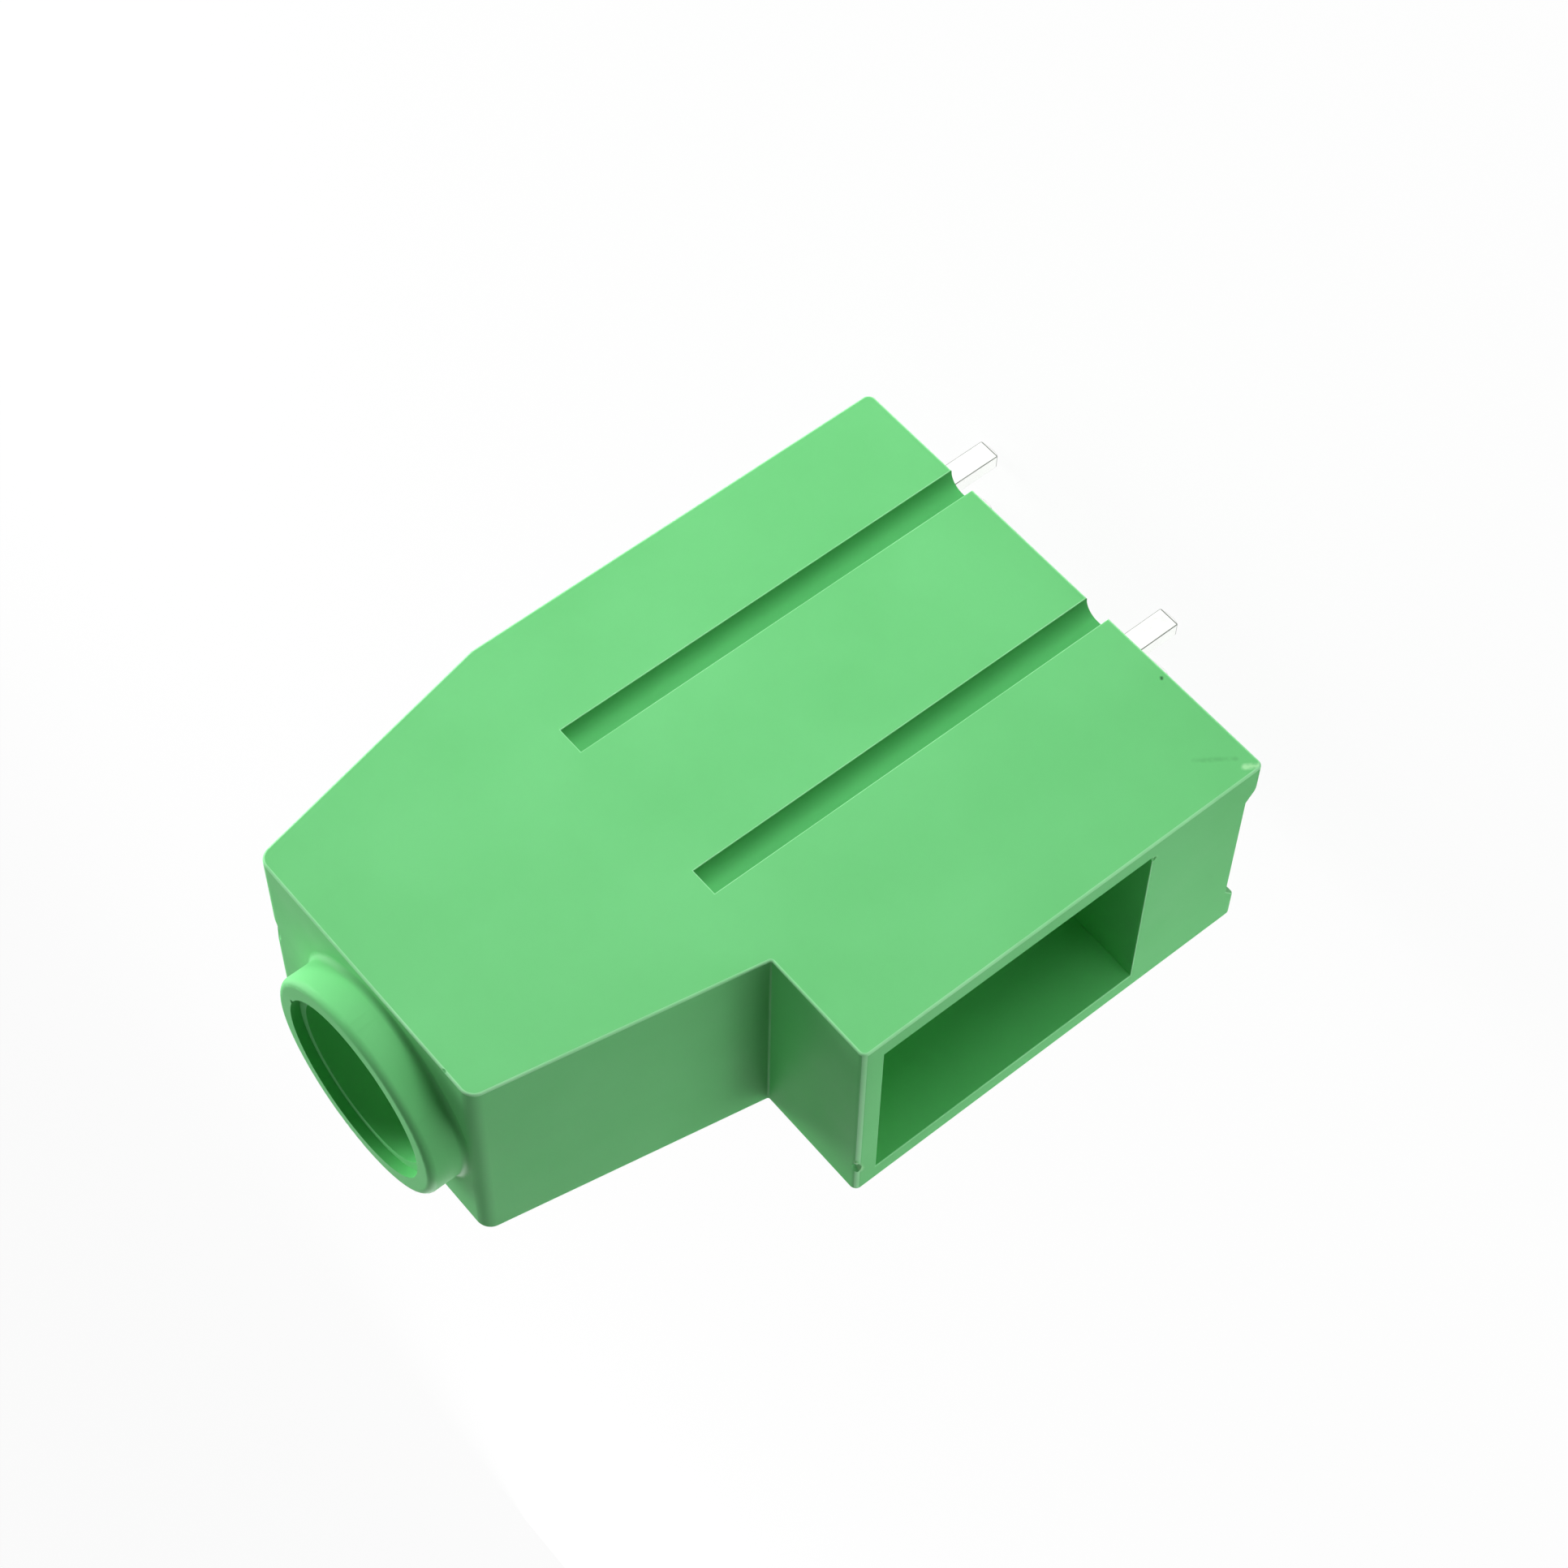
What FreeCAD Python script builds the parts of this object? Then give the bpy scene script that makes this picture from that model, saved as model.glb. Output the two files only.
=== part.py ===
import FreeCAD, Part
import math
import os
import re
import Sketcher

# Single-pole screw terminal for a printed circuit board, for wire up to 35 mm2.
# X runs to the wire entry, Z up from the board and Y across the block. The origin is in the
# middle of the four solder pins, where they enter the board. Each piece is drawn with its X
# measured from the housing's rear face and is then placed on the pins. Sizes are in mm.

# name in the sheet, size, what it is
SIZES = [
    ("housing_width", 15.0, "across the block, one pole"),
    ("front_height", 27.45, "top of the low front part"),
    ("front_length", 7.2, "tower's foot to the front face"),
    ("shoulder_height", 27.8, "where the rear face begins to lean"),
    ("tower_front_lean", 3.3, "lean of the tower's front face"),
    ("tower_corner_radius", 0.9, "both ends of the flat top"),
    ("base_corner_radius", 0.5, "rear corner of the underside"),
    ("front_corner_radius", 0.4, "corners of the low front part"),
    ("tower_foot_radius", 0.15, "inside corner at the tower's foot"),
    ("edge_radius", 0.15, "moulded edges round both side faces"),
    ("collar_side_gap", 0.8, "collar to each side face"),
    ("collar_rear_gap", 3.65, "flat top behind the collar"),
    ("collar_front_gap", 0.95, "flat top in front of the collar"),
    ("collar_wall", 1.2, "collar round its mouth"),
    ("collar_rise", 2.25, "collar above the flat top"),
    ("collar_rim_radius", 0.45, "outer edge of the rim"),
    ("collar_foot_radius", 0.4, "where the collar meets the flat top"),
    ("mouth_ledge", 0.55, "step from the mouth in to the screw shaft"),
    ("mouth_depth", 0.6, "rim to that step"),
    ("groove_from_rear", 7.0, "near edge of the first groove"),
    ("groove_width", 1.75, "each groove"),
    ("groove_spacing", 11.1, "first groove to second"),
    ("groove_end_gap", 0.25, "closed end of each groove below the low front part's top"),
    ("groove_depth", 1.15, "into the side face"),
    ("groove_wall", 0.15, "straight part of each groove's rear wall, over its round foot"),
    ("rear_pad_width", 6.1, "raised pad on the leaning rear face"),
    ("rear_pad_side_gap", 0.7, "rear pad to the side face"),
    ("rear_pad_length", 6.0, "flat top to the pad's lower end"),
    ("rear_pad_rise", 0.5, "out of the leaning face"),
    ("lip_width", 1.8, "flat underside of each foot lip"),
    ("lip_ramp", 1.1, "slope from a lip to the recess"),
    ("recess_depth", 0.85, "recess between the lips"),
    ("entry_wall", 1.3, "housing beside the wire entry"),
    ("entry_floor", 7.75, "wire entry above the board"),
    ("entry_roof", 1.4, "housing over the wire entry"),
    ("entry_draft", 0.2, "how much floor and roof draw in by the chamber"),
    ("chamber_wall", 2.2, "housing beside the chamber that holds the metal"),
    ("bar_clearance", 0.15, "current bar to the chamber"),
    ("rear_pin_from_rear", 4.75, "middle of the rear pins"),
    ("pin_spacing_long", 15.0, "rear pins to front pins"),
    ("pin_spacing_cross", 5.0, "pins of one pair"),
    ("pin_width", 1.0, "each pin, across the block"),
    ("pin_length", 5.4, "below the board's surface"),
    ("pin_tip_chamfer", 0.3, "each pin's end"),
    ("strip_thickness", 1.4, "copper strip of the bar and pins"),
    ("bend_radius", 0.8, "inside of the strip's bends"),
    ("bar_side_gap", 0.2, "wide front leg to the chamber"),
    ("run_gap", 0.3, "run of the bar inside the sleeve, all round"),
    ("run_front_length", 0.4, "narrow run past the sleeve"),
    ("gate_drop", 0.2, "gate of the front leg below the sleeve's floor"),
    ("gate_gap", 0.1, "gate of the front leg beside the sleeve's window"),
    ("wire_space", 10.5, "sleeve floor to bar when open"),
    ("floor_step", 0.05, "sleeve floor below the wire entry when open"),
    ("leg_gap", 0.7, "sleeve to the front leg"),
    ("sleeve_length", 9.2, "along the wire"),
    ("sleeve_clearance", 0.25, "sleeve to the chamber"),
    ("sleeve_wall", 1.2, "sides of the sleeve"),
    ("sleeve_floor_thickness", 1.8, "bottom of the sleeve"),
    ("sleeve_top_thickness", 3.0, "two layers folded over each other"),
    ("sleeve_corner_radius", 1.2, "outside of the sleeve's folds"),
    ("sleeve_neck_height", 1.8, "drawn neck that carries the thread"),
    ("sleeve_travel", 9.75, "open to shut"),
    ("sleeve_end_gap", 0.85, "sleeve to the chamber's roof when shut"),
    ("grip_width", 0.7, "grip grooves in the sleeve's floor"),
    ("grip_depth", 0.3, "grip grooves in the sleeve's floor"),
    ("grip_spacing", 1.9, "one grip groove to the next"),
    ("screw_diameter", 6.0, "outside of the thread"),
    ("thread_clearance", 0.05, "radius of the sleeve's thread over the screw's"),
    ("screw_tip_gap", 0.2, "screw tip to the bar"),
    ("screw_tip_chamfer", 0.8, "end of the screw"),
    ("head_lift", 0.7, "underside of the head over the chamber's roof"),
    ("head_height", 5.0, "slotted head"),
    ("head_sink", 5.25, "head below the collar's rim"),
    ("head_clearance", 0.25, "radius of the shaft over the head's"),
    ("head_chamfer", 0.4, "top of the head"),
    ("slot_width", 1.6, "screwdriver slot"),
    ("slot_depth", 2.4, "screwdriver slot"),
    ("cover_thickness", 1.5, "base cover"),
    ("cover_end", 1.5, "base cover past the chamber, each end"),
    ("cover_side", 0.1, "base cover past the chamber, each side"),
    ("cover_fit", 0.05, "housing to the base cover's edge"),
    ("pin_hole_fit", 0.15, "pin to its hole in the cover"),
    ("rib_width", 1.2, "ribs that stop the sleeve"),
    ("rib_length", 7.4, "ribs that stop the sleeve"),
    ("rib_spacing", 5.6, "one rib to the other"),
    ("rib_gap", 0.2, "ribs to the sleeve when open"),
]
GRIP_COUNT = 3

# Places worked out from the sizes, written as the sheet's own sums. Along the block they run
# from the pins to the sleeve, to the screw over it and to the tower round the screw.
FRONT_PIN = "(rear_pin_from_rear + pin_spacing_long)"
BAR_REAR = "(rear_pin_from_rear - strip_thickness / 2)"
BAR_FRONT = f"({FRONT_PIN} + strip_thickness / 2)"
CHAMBER_REAR = f"({BAR_REAR} - bar_clearance)"
CHAMBER_FRONT = f"({BAR_FRONT} + bar_clearance)"
SLEEVE_FRONT = f"({FRONT_PIN} - strip_thickness / 2 - leg_gap)"
SLEEVE_REAR = f"({SLEEVE_FRONT} - sleeve_length)"
SCREW_AXIS = f"({SLEEVE_FRONT} - sleeve_length / 2)"
COLLAR_RADIUS = "(housing_width / 2 - collar_side_gap)"
TOP_REAR = f"({SCREW_AXIS} - {COLLAR_RADIUS} - collar_rear_gap)"
TOP_FRONT = f"({SCREW_AXIS} + {COLLAR_RADIUS} + collar_front_gap)"
TOWER_FOOT = f"({TOP_FRONT} + tower_front_lean)"
HOUSING_LENGTH = f"({TOWER_FOOT} + front_length)"

# Up from the board they run through the open sleeve to the roof over its travel, and on
# through the head of the screw to the collar's rim.
COVER_TOP = "(recess_depth + cover_thickness)"
SLEEVE_FLOOR = "(entry_floor - floor_step)"
SLEEVE_BOTTOM = f"({SLEEVE_FLOOR} - sleeve_floor_thickness)"
RUN_UNDERSIDE = f"({SLEEVE_FLOOR} + wire_space)"
RUN_TOP = f"({RUN_UNDERSIDE} + strip_thickness)"
SLEEVE_ROOF = f"({RUN_TOP} + run_gap)"
SLEEVE_TOP = f"({SLEEVE_ROOF} + sleeve_top_thickness)"
NECK_TOP = f"({SLEEVE_TOP} + sleeve_neck_height)"
CHAMBER_ROOF = f"({NECK_TOP} + sleeve_travel + sleeve_end_gap)"
HEAD_UNDERSIDE = f"({CHAMBER_ROOF} + head_lift)"
HEAD_TOP = f"({HEAD_UNDERSIDE} + head_height)"
COLLAR_TOP = f"({HEAD_TOP} + head_sink)"
TOWER_HEIGHT = f"({COLLAR_TOP} - collar_rise)"
ENTRY_TOP = "(front_height - entry_roof)"

# Across the block each is half a width, or a radius about the screw.
HOUSING_HALF = "(housing_width / 2)"
ENTRY_HALF = f"({HOUSING_HALF} - entry_wall)"
CHAMBER_HALF = f"({HOUSING_HALF} - chamber_wall)"
COVER_HALF = f"({CHAMBER_HALF} + cover_side)"
SLEEVE_HALF = f"({CHAMBER_HALF} - sleeve_clearance)"
WINDOW_HALF = f"({SLEEVE_HALF} - sleeve_wall)"
RUN_HALF = f"({WINDOW_HALF} - run_gap)"
MOUTH_RADIUS = f"({COLLAR_RADIUS} - collar_wall)"
SHAFT_RADIUS = f"({MOUTH_RADIUS} - mouth_ledge)"
HEAD_RADIUS = f"({SHAFT_RADIUS} - head_clearance)"
NECK_RADIUS = f"({SLEEVE_HALF} / 2 + screw_diameter / 4)"

SHEET = "Sizes"
TOUCH = 0.001

document = FreeCAD.newDocument("screw_terminal")


def fill_sheet():
    """Write every size into the sheet, under its name."""
    sheet = document.addObject("Spreadsheet::Sheet", SHEET)
    for row, (name, size, meaning) in enumerate(SIZES, start=1):
        sheet.set(f"A{row}", name)
        sheet.set(f"B{row}", str(size))
        sheet.set(f"C{row}", meaning)
        sheet.setAlias(f"B{row}", name)
    document.recompute()


def from_sheet(text):
    """Point each size named in a sum at its cell."""
    return re.sub(r"[a-z_]{3,}", lambda word: f"{SHEET}.{word.group()}", text)


def worth(text):
    """The number that a sum of sizes comes to."""
    return float(document.getObject(SHEET).evalExpression(from_sheet(text)))


def bind(thing, field, text):
    """Let a sum of sizes drive one property."""
    thing.setExpression(field, from_sheet(text))


def new_body(label):
    """An empty body, drawn from the housing's rear face and placed on the pins."""
    body = document.addObject("PartDesign::Body", label)
    body.Label = label
    bind(body, "Placement.Base.x", "-(rear_pin_from_rear + pin_spacing_long / 2)")
    return body


def new_sketch(body, name, plane, level="0"):
    """A sketch on one of the body's origin planes, or at a level along the plane's normal."""
    sketch = body.newObject("Sketcher::SketchObject", name)
    planes = {feature.Role: feature for feature in body.Origin.OriginFeatures}
    sketch.AttachmentSupport = (planes[plane], [""])
    sketch.MapMode = "FlatFace"
    bind(sketch, "AttachmentOffset.Base.z", level)
    return sketch


def fix_point(sketch, line, end, across, up):
    """Hold a point of the sketch at its two sizes; a size of 0 holds it on the axis."""
    point = sketch.getPoint(line, end)
    for kind, start, size, axis in (("DistanceX", point.x, across, -2),
                                    ("DistanceY", point.y, up, -1)):
        if size == "0":
            sketch.addConstraint(Sketcher.Constraint("PointOnObject", line, end, axis))
        else:
            rule = sketch.addConstraint(Sketcher.Constraint(kind, -1, 1, line, end, start))
            bind(sketch, f"Constraints[{rule}]", size)


def draw_outline(sketch, corners):
    """A closed outline through corners, each a pair of sizes; the sketch starts as a ring."""
    first = sketch.GeometryCount
    count = len(corners)
    turn = 2 * math.pi / count
    ring = [FreeCAD.Vector(math.cos(turn * i), math.sin(turn * i), 0) for i in range(count)]
    for i in range(count):
        sketch.addGeometry(Part.LineSegment(ring[i], ring[(i + 1) % count]))
    for i in range(count):
        following = first + (i + 1) % count
        sketch.addConstraint(Sketcher.Constraint("Coincident", first + i, 2, following, 1))
    for i, (across, up) in enumerate(corners):
        fix_point(sketch, first + i, 1, across, up)


def draw_rectangle(sketch, left, right, low, high):
    """An upright rectangle between four sizes."""
    draw_outline(sketch, [(left, low), (right, low), (right, high), (left, high)])


def draw_circle_on_axis(sketch, radius):
    """A circle round the screw's axis, in a sketch that lies level."""
    start = Part.Circle(FreeCAD.Vector(1, 1, 0), FreeCAD.Vector(0, 0, 1), 1.0)
    circle = sketch.addGeometry(start)
    fix_point(sketch, circle, 3, SCREW_AXIS, "0")
    rule = sketch.addConstraint(Sketcher.Constraint("Radius", circle, 1.0))
    bind(sketch, f"Constraints[{rule}]", radius)


def volume_of(body):
    """The body's volume, 0 while it is empty."""
    return 0 if body.Shape.isNull() else body.Shape.Volume


def pad(body, name, sketch, length, both_ways=False, reverse=False):
    """Push the sketch's outlines out by a length, and check that they add to the body."""
    before = volume_of(body)
    feature = body.newObject("PartDesign::Pad", name)
    feature.Profile = sketch
    feature.SideType = "Symmetric" if both_ways else "One side"
    feature.Reversed = reverse
    bind(feature, "Length", length)
    document.recompute()
    if feature.Shape.Volume <= before:
        raise RuntimeError(f"{name} adds nothing")
    return feature


def pocket(body, name, sketch, depth=None, both_ways=False, reverse=False):
    """Cut the sketch's outlines into the body, right through where no depth is given."""
    before = volume_of(body)
    feature = body.newObject("PartDesign::Pocket", name)
    feature.Profile = sketch
    feature.SideType = "Symmetric" if both_ways else "One side"
    feature.Reversed = reverse
    if depth is None:
        feature.Type = "ThroughAll"
    else:
        bind(feature, "Length", depth)
    document.recompute()
    if feature.Shape.Volume >= before:
        raise RuntimeError(f"{name} cuts nothing")
    return feature


def repeat(body, name, feature, sketch, spacing, count):
    """A row of like cuts along the sketch's level axis."""
    row = body.newObject("PartDesign::LinearPattern", name)
    row.Originals = [feature]
    row.Direction = (sketch, ["H_Axis"])
    row.Mode = "Spacing"
    bind(row, "Offset", spacing)
    row.Occurrences = count
    body.Tip = row
    document.recompute()
    return row


def edges_of(feature, wanted):
    """Names of the edges for which wanted(middle, direction) holds."""
    names = []
    for number, edge in enumerate(feature.Shape.Edges, start=1):
        along = edge.lastVertex().Point - edge.firstVertex().Point
        if wanted(edge.CenterOfMass, along):
            names.append(f"Edge{number}")
    return names


def same(a, b):
    """Whether two lengths are one."""
    return abs(a - b) < TOUCH


def runs_across(along):
    """Whether an edge runs along Y."""
    return abs(along.y) > TOUCH and same(along.x, 0) and same(along.z, 0)


def runs_up(along):
    """Whether an edge runs along Z."""
    return abs(along.z) > TOUCH and same(along.x, 0) and same(along.y, 0)


def dress(body, kind, name, base, edges, field, size):
    """Round or chamfer edges of a feature by a size."""
    if not edges:
        raise RuntimeError(f"{name} finds no edge")
    feature = body.newObject(f"PartDesign::{kind}", name)
    feature.Base = (base, edges)
    bind(feature, field, size)
    document.recompute()
    return feature


def make_housing():
    """The moulded block: side outline, collar, grooves, wire entry and metal chamber."""
    body = new_body("housing")
    outline = new_sketch(body, "side_outline", "XZ_Plane")
    draw_outline(outline, [
        ("0", "0"),
        (HOUSING_LENGTH, "0"),
        (HOUSING_LENGTH, "front_height"),
        (TOWER_FOOT, "front_height"),
        (TOP_FRONT, TOWER_HEIGHT),
        (TOP_REAR, TOWER_HEIGHT),
        ("0", "shoulder_height"),
    ])
    block = pad(body, "block", outline, "housing_width", both_ways=True)
    round_block(body, block)
    add_rear_pad(body)
    add_collar(body)
    cut_grooves(body)
    cut_recess(body)
    cut_wire_entry(body)
    cut_chamber(body)
    cut_screw_shaft(body)
    return body


def round_block(body, block):
    """Moulded roundings: corners of the side outline first, then the edges of both sides."""
    top = worth(TOWER_HEIGHT)
    block = dress(body, "Fillet", "tower_corners", block, edges_of(
        block, lambda middle, along: runs_across(along) and same(middle.z, top)),
        "Radius", "tower_corner_radius")
    block = dress(body, "Fillet", "base_corner", block, edges_of(
        block, lambda middle, along: runs_across(along) and same(middle.z, 0)
        and same(middle.x, 0)), "Radius", "base_corner_radius")
    front = worth(HOUSING_LENGTH)
    foot = worth(TOWER_FOOT)
    block = dress(body, "Fillet", "front_corners", block, edges_of(
        block, lambda middle, along: runs_across(along) and same(middle.x, front)),
        "Radius", "front_corner_radius")
    block = dress(body, "Fillet", "tower_foot", block, edges_of(
        block, lambda middle, along: runs_across(along) and same(middle.x, foot)),
        "Radius", "tower_foot_radius")
    side = worth(HOUSING_HALF)
    dress(body, "Fillet", "side_edges", block, edges_of(
        block, lambda middle, along: same(abs(middle.y), side) and same(along.y, 0)),
        "Radius", "edge_radius")


def add_rear_pad(body):
    """Low raised pad at the top of the leaning rear face, near one side."""
    middle = f"({HOUSING_HALF} - rear_pad_side_gap - rear_pad_width / 2)"
    low = f"({TOWER_HEIGHT} - rear_pad_length)"
    high = f"({TOWER_HEIGHT} - tower_corner_radius)"
    slope = f"({TOP_REAR} / ({TOWER_HEIGHT} - shoulder_height))"
    face_low = f"({slope} * ({low} - shoulder_height))"
    inside = f"({TOP_REAR} + tower_corner_radius)"
    sketch = new_sketch(body, "rear_pad_outline", "XZ_Plane", middle)
    draw_outline(sketch, [
        (face_low, low),
        (f"{face_low} - rear_pad_rise", f"{low} + rear_pad_rise"),
        (f"{TOP_REAR} - rear_pad_rise", high),
        (inside, high),
        (inside, low),
    ])
    pad(body, "rear_pad", sketch, "rear_pad_width", both_ways=True)


def add_collar(body):
    """Round collar over the screw shaft, with a soft rim and foot."""
    sketch = new_sketch(body, "collar_outline", "XY_Plane", TOWER_HEIGHT)
    draw_circle_on_axis(sketch, COLLAR_RADIUS)
    collar = pad(body, "collar", sketch, "collar_rise")
    rim = worth(COLLAR_TOP)
    collar = dress(body, "Fillet", "collar_rim", collar, edges_of(
        collar, lambda middle, along: same(middle.z, rim)), "Radius", "collar_rim_radius")
    foot = worth(TOWER_HEIGHT)
    axis = worth(SCREW_AXIS)
    dress(body, "Fillet", "collar_foot", collar, edges_of(
        collar, lambda middle, along: same(middle.z, foot) and same(middle.x, axis)
        and same(along.Length, 0)), "Radius", "collar_foot_radius")


def cut_grooves(body):
    """Two blind grooves down one side face, open at the underside, round in their rear foot."""
    floor = f"({HOUSING_HALF} - groove_depth)"
    sketch = new_sketch(body, "groove_section", "XY_Plane")
    draw_rectangle(sketch, "groove_from_rear", "groove_from_rear + groove_width",
                   floor, HOUSING_HALF)
    groove = pocket(body, "groove", sketch, "front_height - groove_end_gap", reverse=True)
    pair = repeat(body, "groove_pair", groove, sketch, "groove_spacing", 2)
    foot = worth(floor)
    rear_walls = [worth("groove_from_rear"), worth("groove_from_rear + groove_spacing")]
    dress(body, "Fillet", "groove_feet", pair, edges_of(
        pair, lambda middle, along: same(middle.y, foot) and runs_up(along)
        and any(same(middle.x, wall) for wall in rear_walls)), "Radius", "groove_depth - groove_wall")


def cut_recess(body):
    """Shallow recess along the underside, between the two foot lips."""
    lip = f"({HOUSING_HALF} - lip_width)"
    flat = f"({lip} - lip_ramp)"
    sketch = new_sketch(body, "recess_outline", "YZ_Plane")
    draw_outline(sketch, [
        (f"-{lip}", "0"),
        (lip, "0"),
        (flat, "recess_depth"),
        (f"-{flat}", "recess_depth"),
    ])
    pocket(body, "recess", sketch, reverse=True)


def cut_wire_entry(body):
    """Wire entry, drawing in from the front face to the chamber."""
    mouth = new_sketch(body, "entry_mouth", "YZ_Plane", HOUSING_LENGTH)
    draw_rectangle(mouth, f"-{ENTRY_HALF}", ENTRY_HALF, "entry_floor", ENTRY_TOP)
    throat = new_sketch(body, "entry_throat", "YZ_Plane", CHAMBER_FRONT)
    draw_rectangle(throat, f"-{CHAMBER_HALF}", CHAMBER_HALF,
                   "entry_floor + entry_draft", f"{ENTRY_TOP} - entry_draft")
    before = volume_of(body)
    entry = body.newObject("PartDesign::SubtractiveLoft", "wire_entry")
    entry.Profile = mouth
    entry.Sections = [throat]
    entry.Ruled = True
    document.recompute()
    if entry.Shape.Volume >= before:
        raise RuntimeError("wire_entry cuts nothing")


def cut_chamber(body):
    """Chamber for the metal, open below: seat of the cover, room for bar, sleeve and rise."""
    seat = new_sketch(body, "cover_seat_outline", "XY_Plane")
    draw_rectangle(seat, f"{CHAMBER_REAR} - cover_end - cover_fit",
                   f"{CHAMBER_FRONT} + cover_end + cover_fit",
                   f"-({COVER_HALF} + cover_fit)", f"{COVER_HALF} + cover_fit")
    pocket(body, "cover_seat", seat, COVER_TOP, reverse=True)
    low = new_sketch(body, "bar_room_outline", "XY_Plane")
    draw_rectangle(low, CHAMBER_REAR, CHAMBER_FRONT, f"-{CHAMBER_HALF}", CHAMBER_HALF)
    pocket(body, "bar_room", low, f"{RUN_TOP} + bar_clearance", reverse=True)
    high = new_sketch(body, "sleeve_room_outline", "XY_Plane")
    draw_rectangle(high, f"{SLEEVE_REAR} - sleeve_clearance",
                   f"{SLEEVE_FRONT} + sleeve_clearance", f"-{CHAMBER_HALF}", CHAMBER_HALF)
    pocket(body, "sleeve_room", high, CHAMBER_ROOF, reverse=True)


def cut_screw_shaft(body):
    """Round shaft from the collar down to the chamber, with a shallow wider mouth."""
    mouth = new_sketch(body, "mouth_outline", "XY_Plane", COLLAR_TOP)
    draw_circle_on_axis(mouth, MOUTH_RADIUS)
    pocket(body, "mouth", mouth, "mouth_depth")
    shaft = new_sketch(body, "shaft_outline", "XY_Plane", COLLAR_TOP)
    draw_circle_on_axis(shaft, SHAFT_RADIUS)
    pocket(body, "shaft", shaft, f"{COLLAR_TOP} - {CHAMBER_ROOF} + sleeve_end_gap")


def make_base_cover():
    """Moulded plate under the chamber, with a hole for each pin and two stop ribs."""
    body = new_body("base_cover")
    outline = new_sketch(body, "plate_outline", "XY_Plane", "recess_depth")
    draw_rectangle(outline, f"{CHAMBER_REAR} - cover_end", f"{CHAMBER_FRONT} + cover_end",
                   f"-{COVER_HALF}", COVER_HALF)
    plate = pad(body, "plate", outline, "cover_thickness")
    underside = worth("recess_depth")
    dress(body, "Chamfer", "plate_edges", plate, edges_of(
        plate, lambda middle, along: same(middle.z, underside)), "Size", "edge_radius")
    ribs = new_sketch(body, "rib_outlines", "XY_Plane", COVER_TOP)
    for sign in ("-", ""):
        middle = f"{sign}rib_spacing / 2"
        draw_rectangle(ribs, f"{SCREW_AXIS} - rib_length / 2", f"{SCREW_AXIS} + rib_length / 2",
                       f"{middle} - rib_width / 2", f"{middle} + rib_width / 2")
    pad(body, "ribs", ribs, f"{SLEEVE_BOTTOM} - rib_gap - {COVER_TOP}")
    holes = new_sketch(body, "pin_holes_outline", "XY_Plane", COVER_TOP)
    draw_pins(holes, "pin_hole_fit")
    pocket(body, "pin_holes", holes)
    return body


def draw_pins(sketch, gap="0"):
    """The four pin sections, each wider by a gap all round."""
    for pin in ("rear_pin_from_rear", FRONT_PIN):
        for sign in ("-", ""):
            middle = f"{sign}pin_spacing_cross / 2"
            draw_rectangle(sketch,
                           f"{pin} - strip_thickness / 2 - {gap}",
                           f"{pin} + strip_thickness / 2 + {gap}",
                           f"{middle} - pin_width / 2 - {gap}",
                           f"{middle} + pin_width / 2 + {gap}")


def make_current_bar():
    """Copper strip bent over the wire, its front leg a gate, its legs ending in pins."""
    body = new_body("current_bar")
    inside_rear = f"({BAR_REAR} + strip_thickness)"
    inside_front = f"({BAR_FRONT} - strip_thickness)"
    profile = new_sketch(body, "strip_outline", "XZ_Plane")
    draw_outline(profile, [
        (BAR_REAR, COVER_TOP),
        (BAR_REAR, RUN_TOP),
        (BAR_FRONT, RUN_TOP),
        (BAR_FRONT, COVER_TOP),
        (inside_front, COVER_TOP),
        (inside_front, RUN_UNDERSIDE),
        (inside_rear, RUN_UNDERSIDE),
        (inside_rear, COVER_TOP),
    ])
    strip = pad(body, "strip", profile, f"2 * ({CHAMBER_HALF} - bar_side_gap)", both_ways=True)
    underside = worth(RUN_UNDERSIDE)
    strip = dress(body, "Fillet", "inner_bends", strip, edges_of(
        strip, lambda middle, along: runs_across(along) and same(middle.z, underside)),
        "Radius", "bend_radius")
    top = worth(RUN_TOP)
    dress(body, "Fillet", "outer_bends", strip, edges_of(
        strip, lambda middle, along: runs_across(along) and same(middle.z, top)),
        "Radius", "bend_radius + strip_thickness")
    sides = new_sketch(body, "narrow_run_outline", "XY_Plane")
    for sign in ("-", ""):
        draw_rectangle(sides, CHAMBER_REAR, f"{SLEEVE_FRONT} + run_front_length",
                       f"{sign}{RUN_HALF}", f"{sign}{CHAMBER_HALF}")
    pocket(body, "narrow_run", sides, reverse=True)
    gate = new_sketch(body, "gate_outline", "YZ_Plane", SCREW_AXIS)
    draw_rectangle(gate, f"-({WINDOW_HALF} + gate_gap)", f"{WINDOW_HALF} + gate_gap",
                   f"{SLEEVE_FLOOR} - gate_drop", RUN_UNDERSIDE)
    pocket(body, "gate", gate, reverse=True)
    ends = new_sketch(body, "pin_outlines", "XY_Plane", COVER_TOP)
    draw_pins(ends)
    pins = pad(body, "pins", ends, f"{COVER_TOP} + pin_length", reverse=True)
    tip = worth("-pin_length")
    dress(body, "Chamfer", "pin_tips", pins, edges_of(
        pins, lambda middle, along: same(middle.z, tip)), "Size", "pin_tip_chamfer")
    return body


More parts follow.
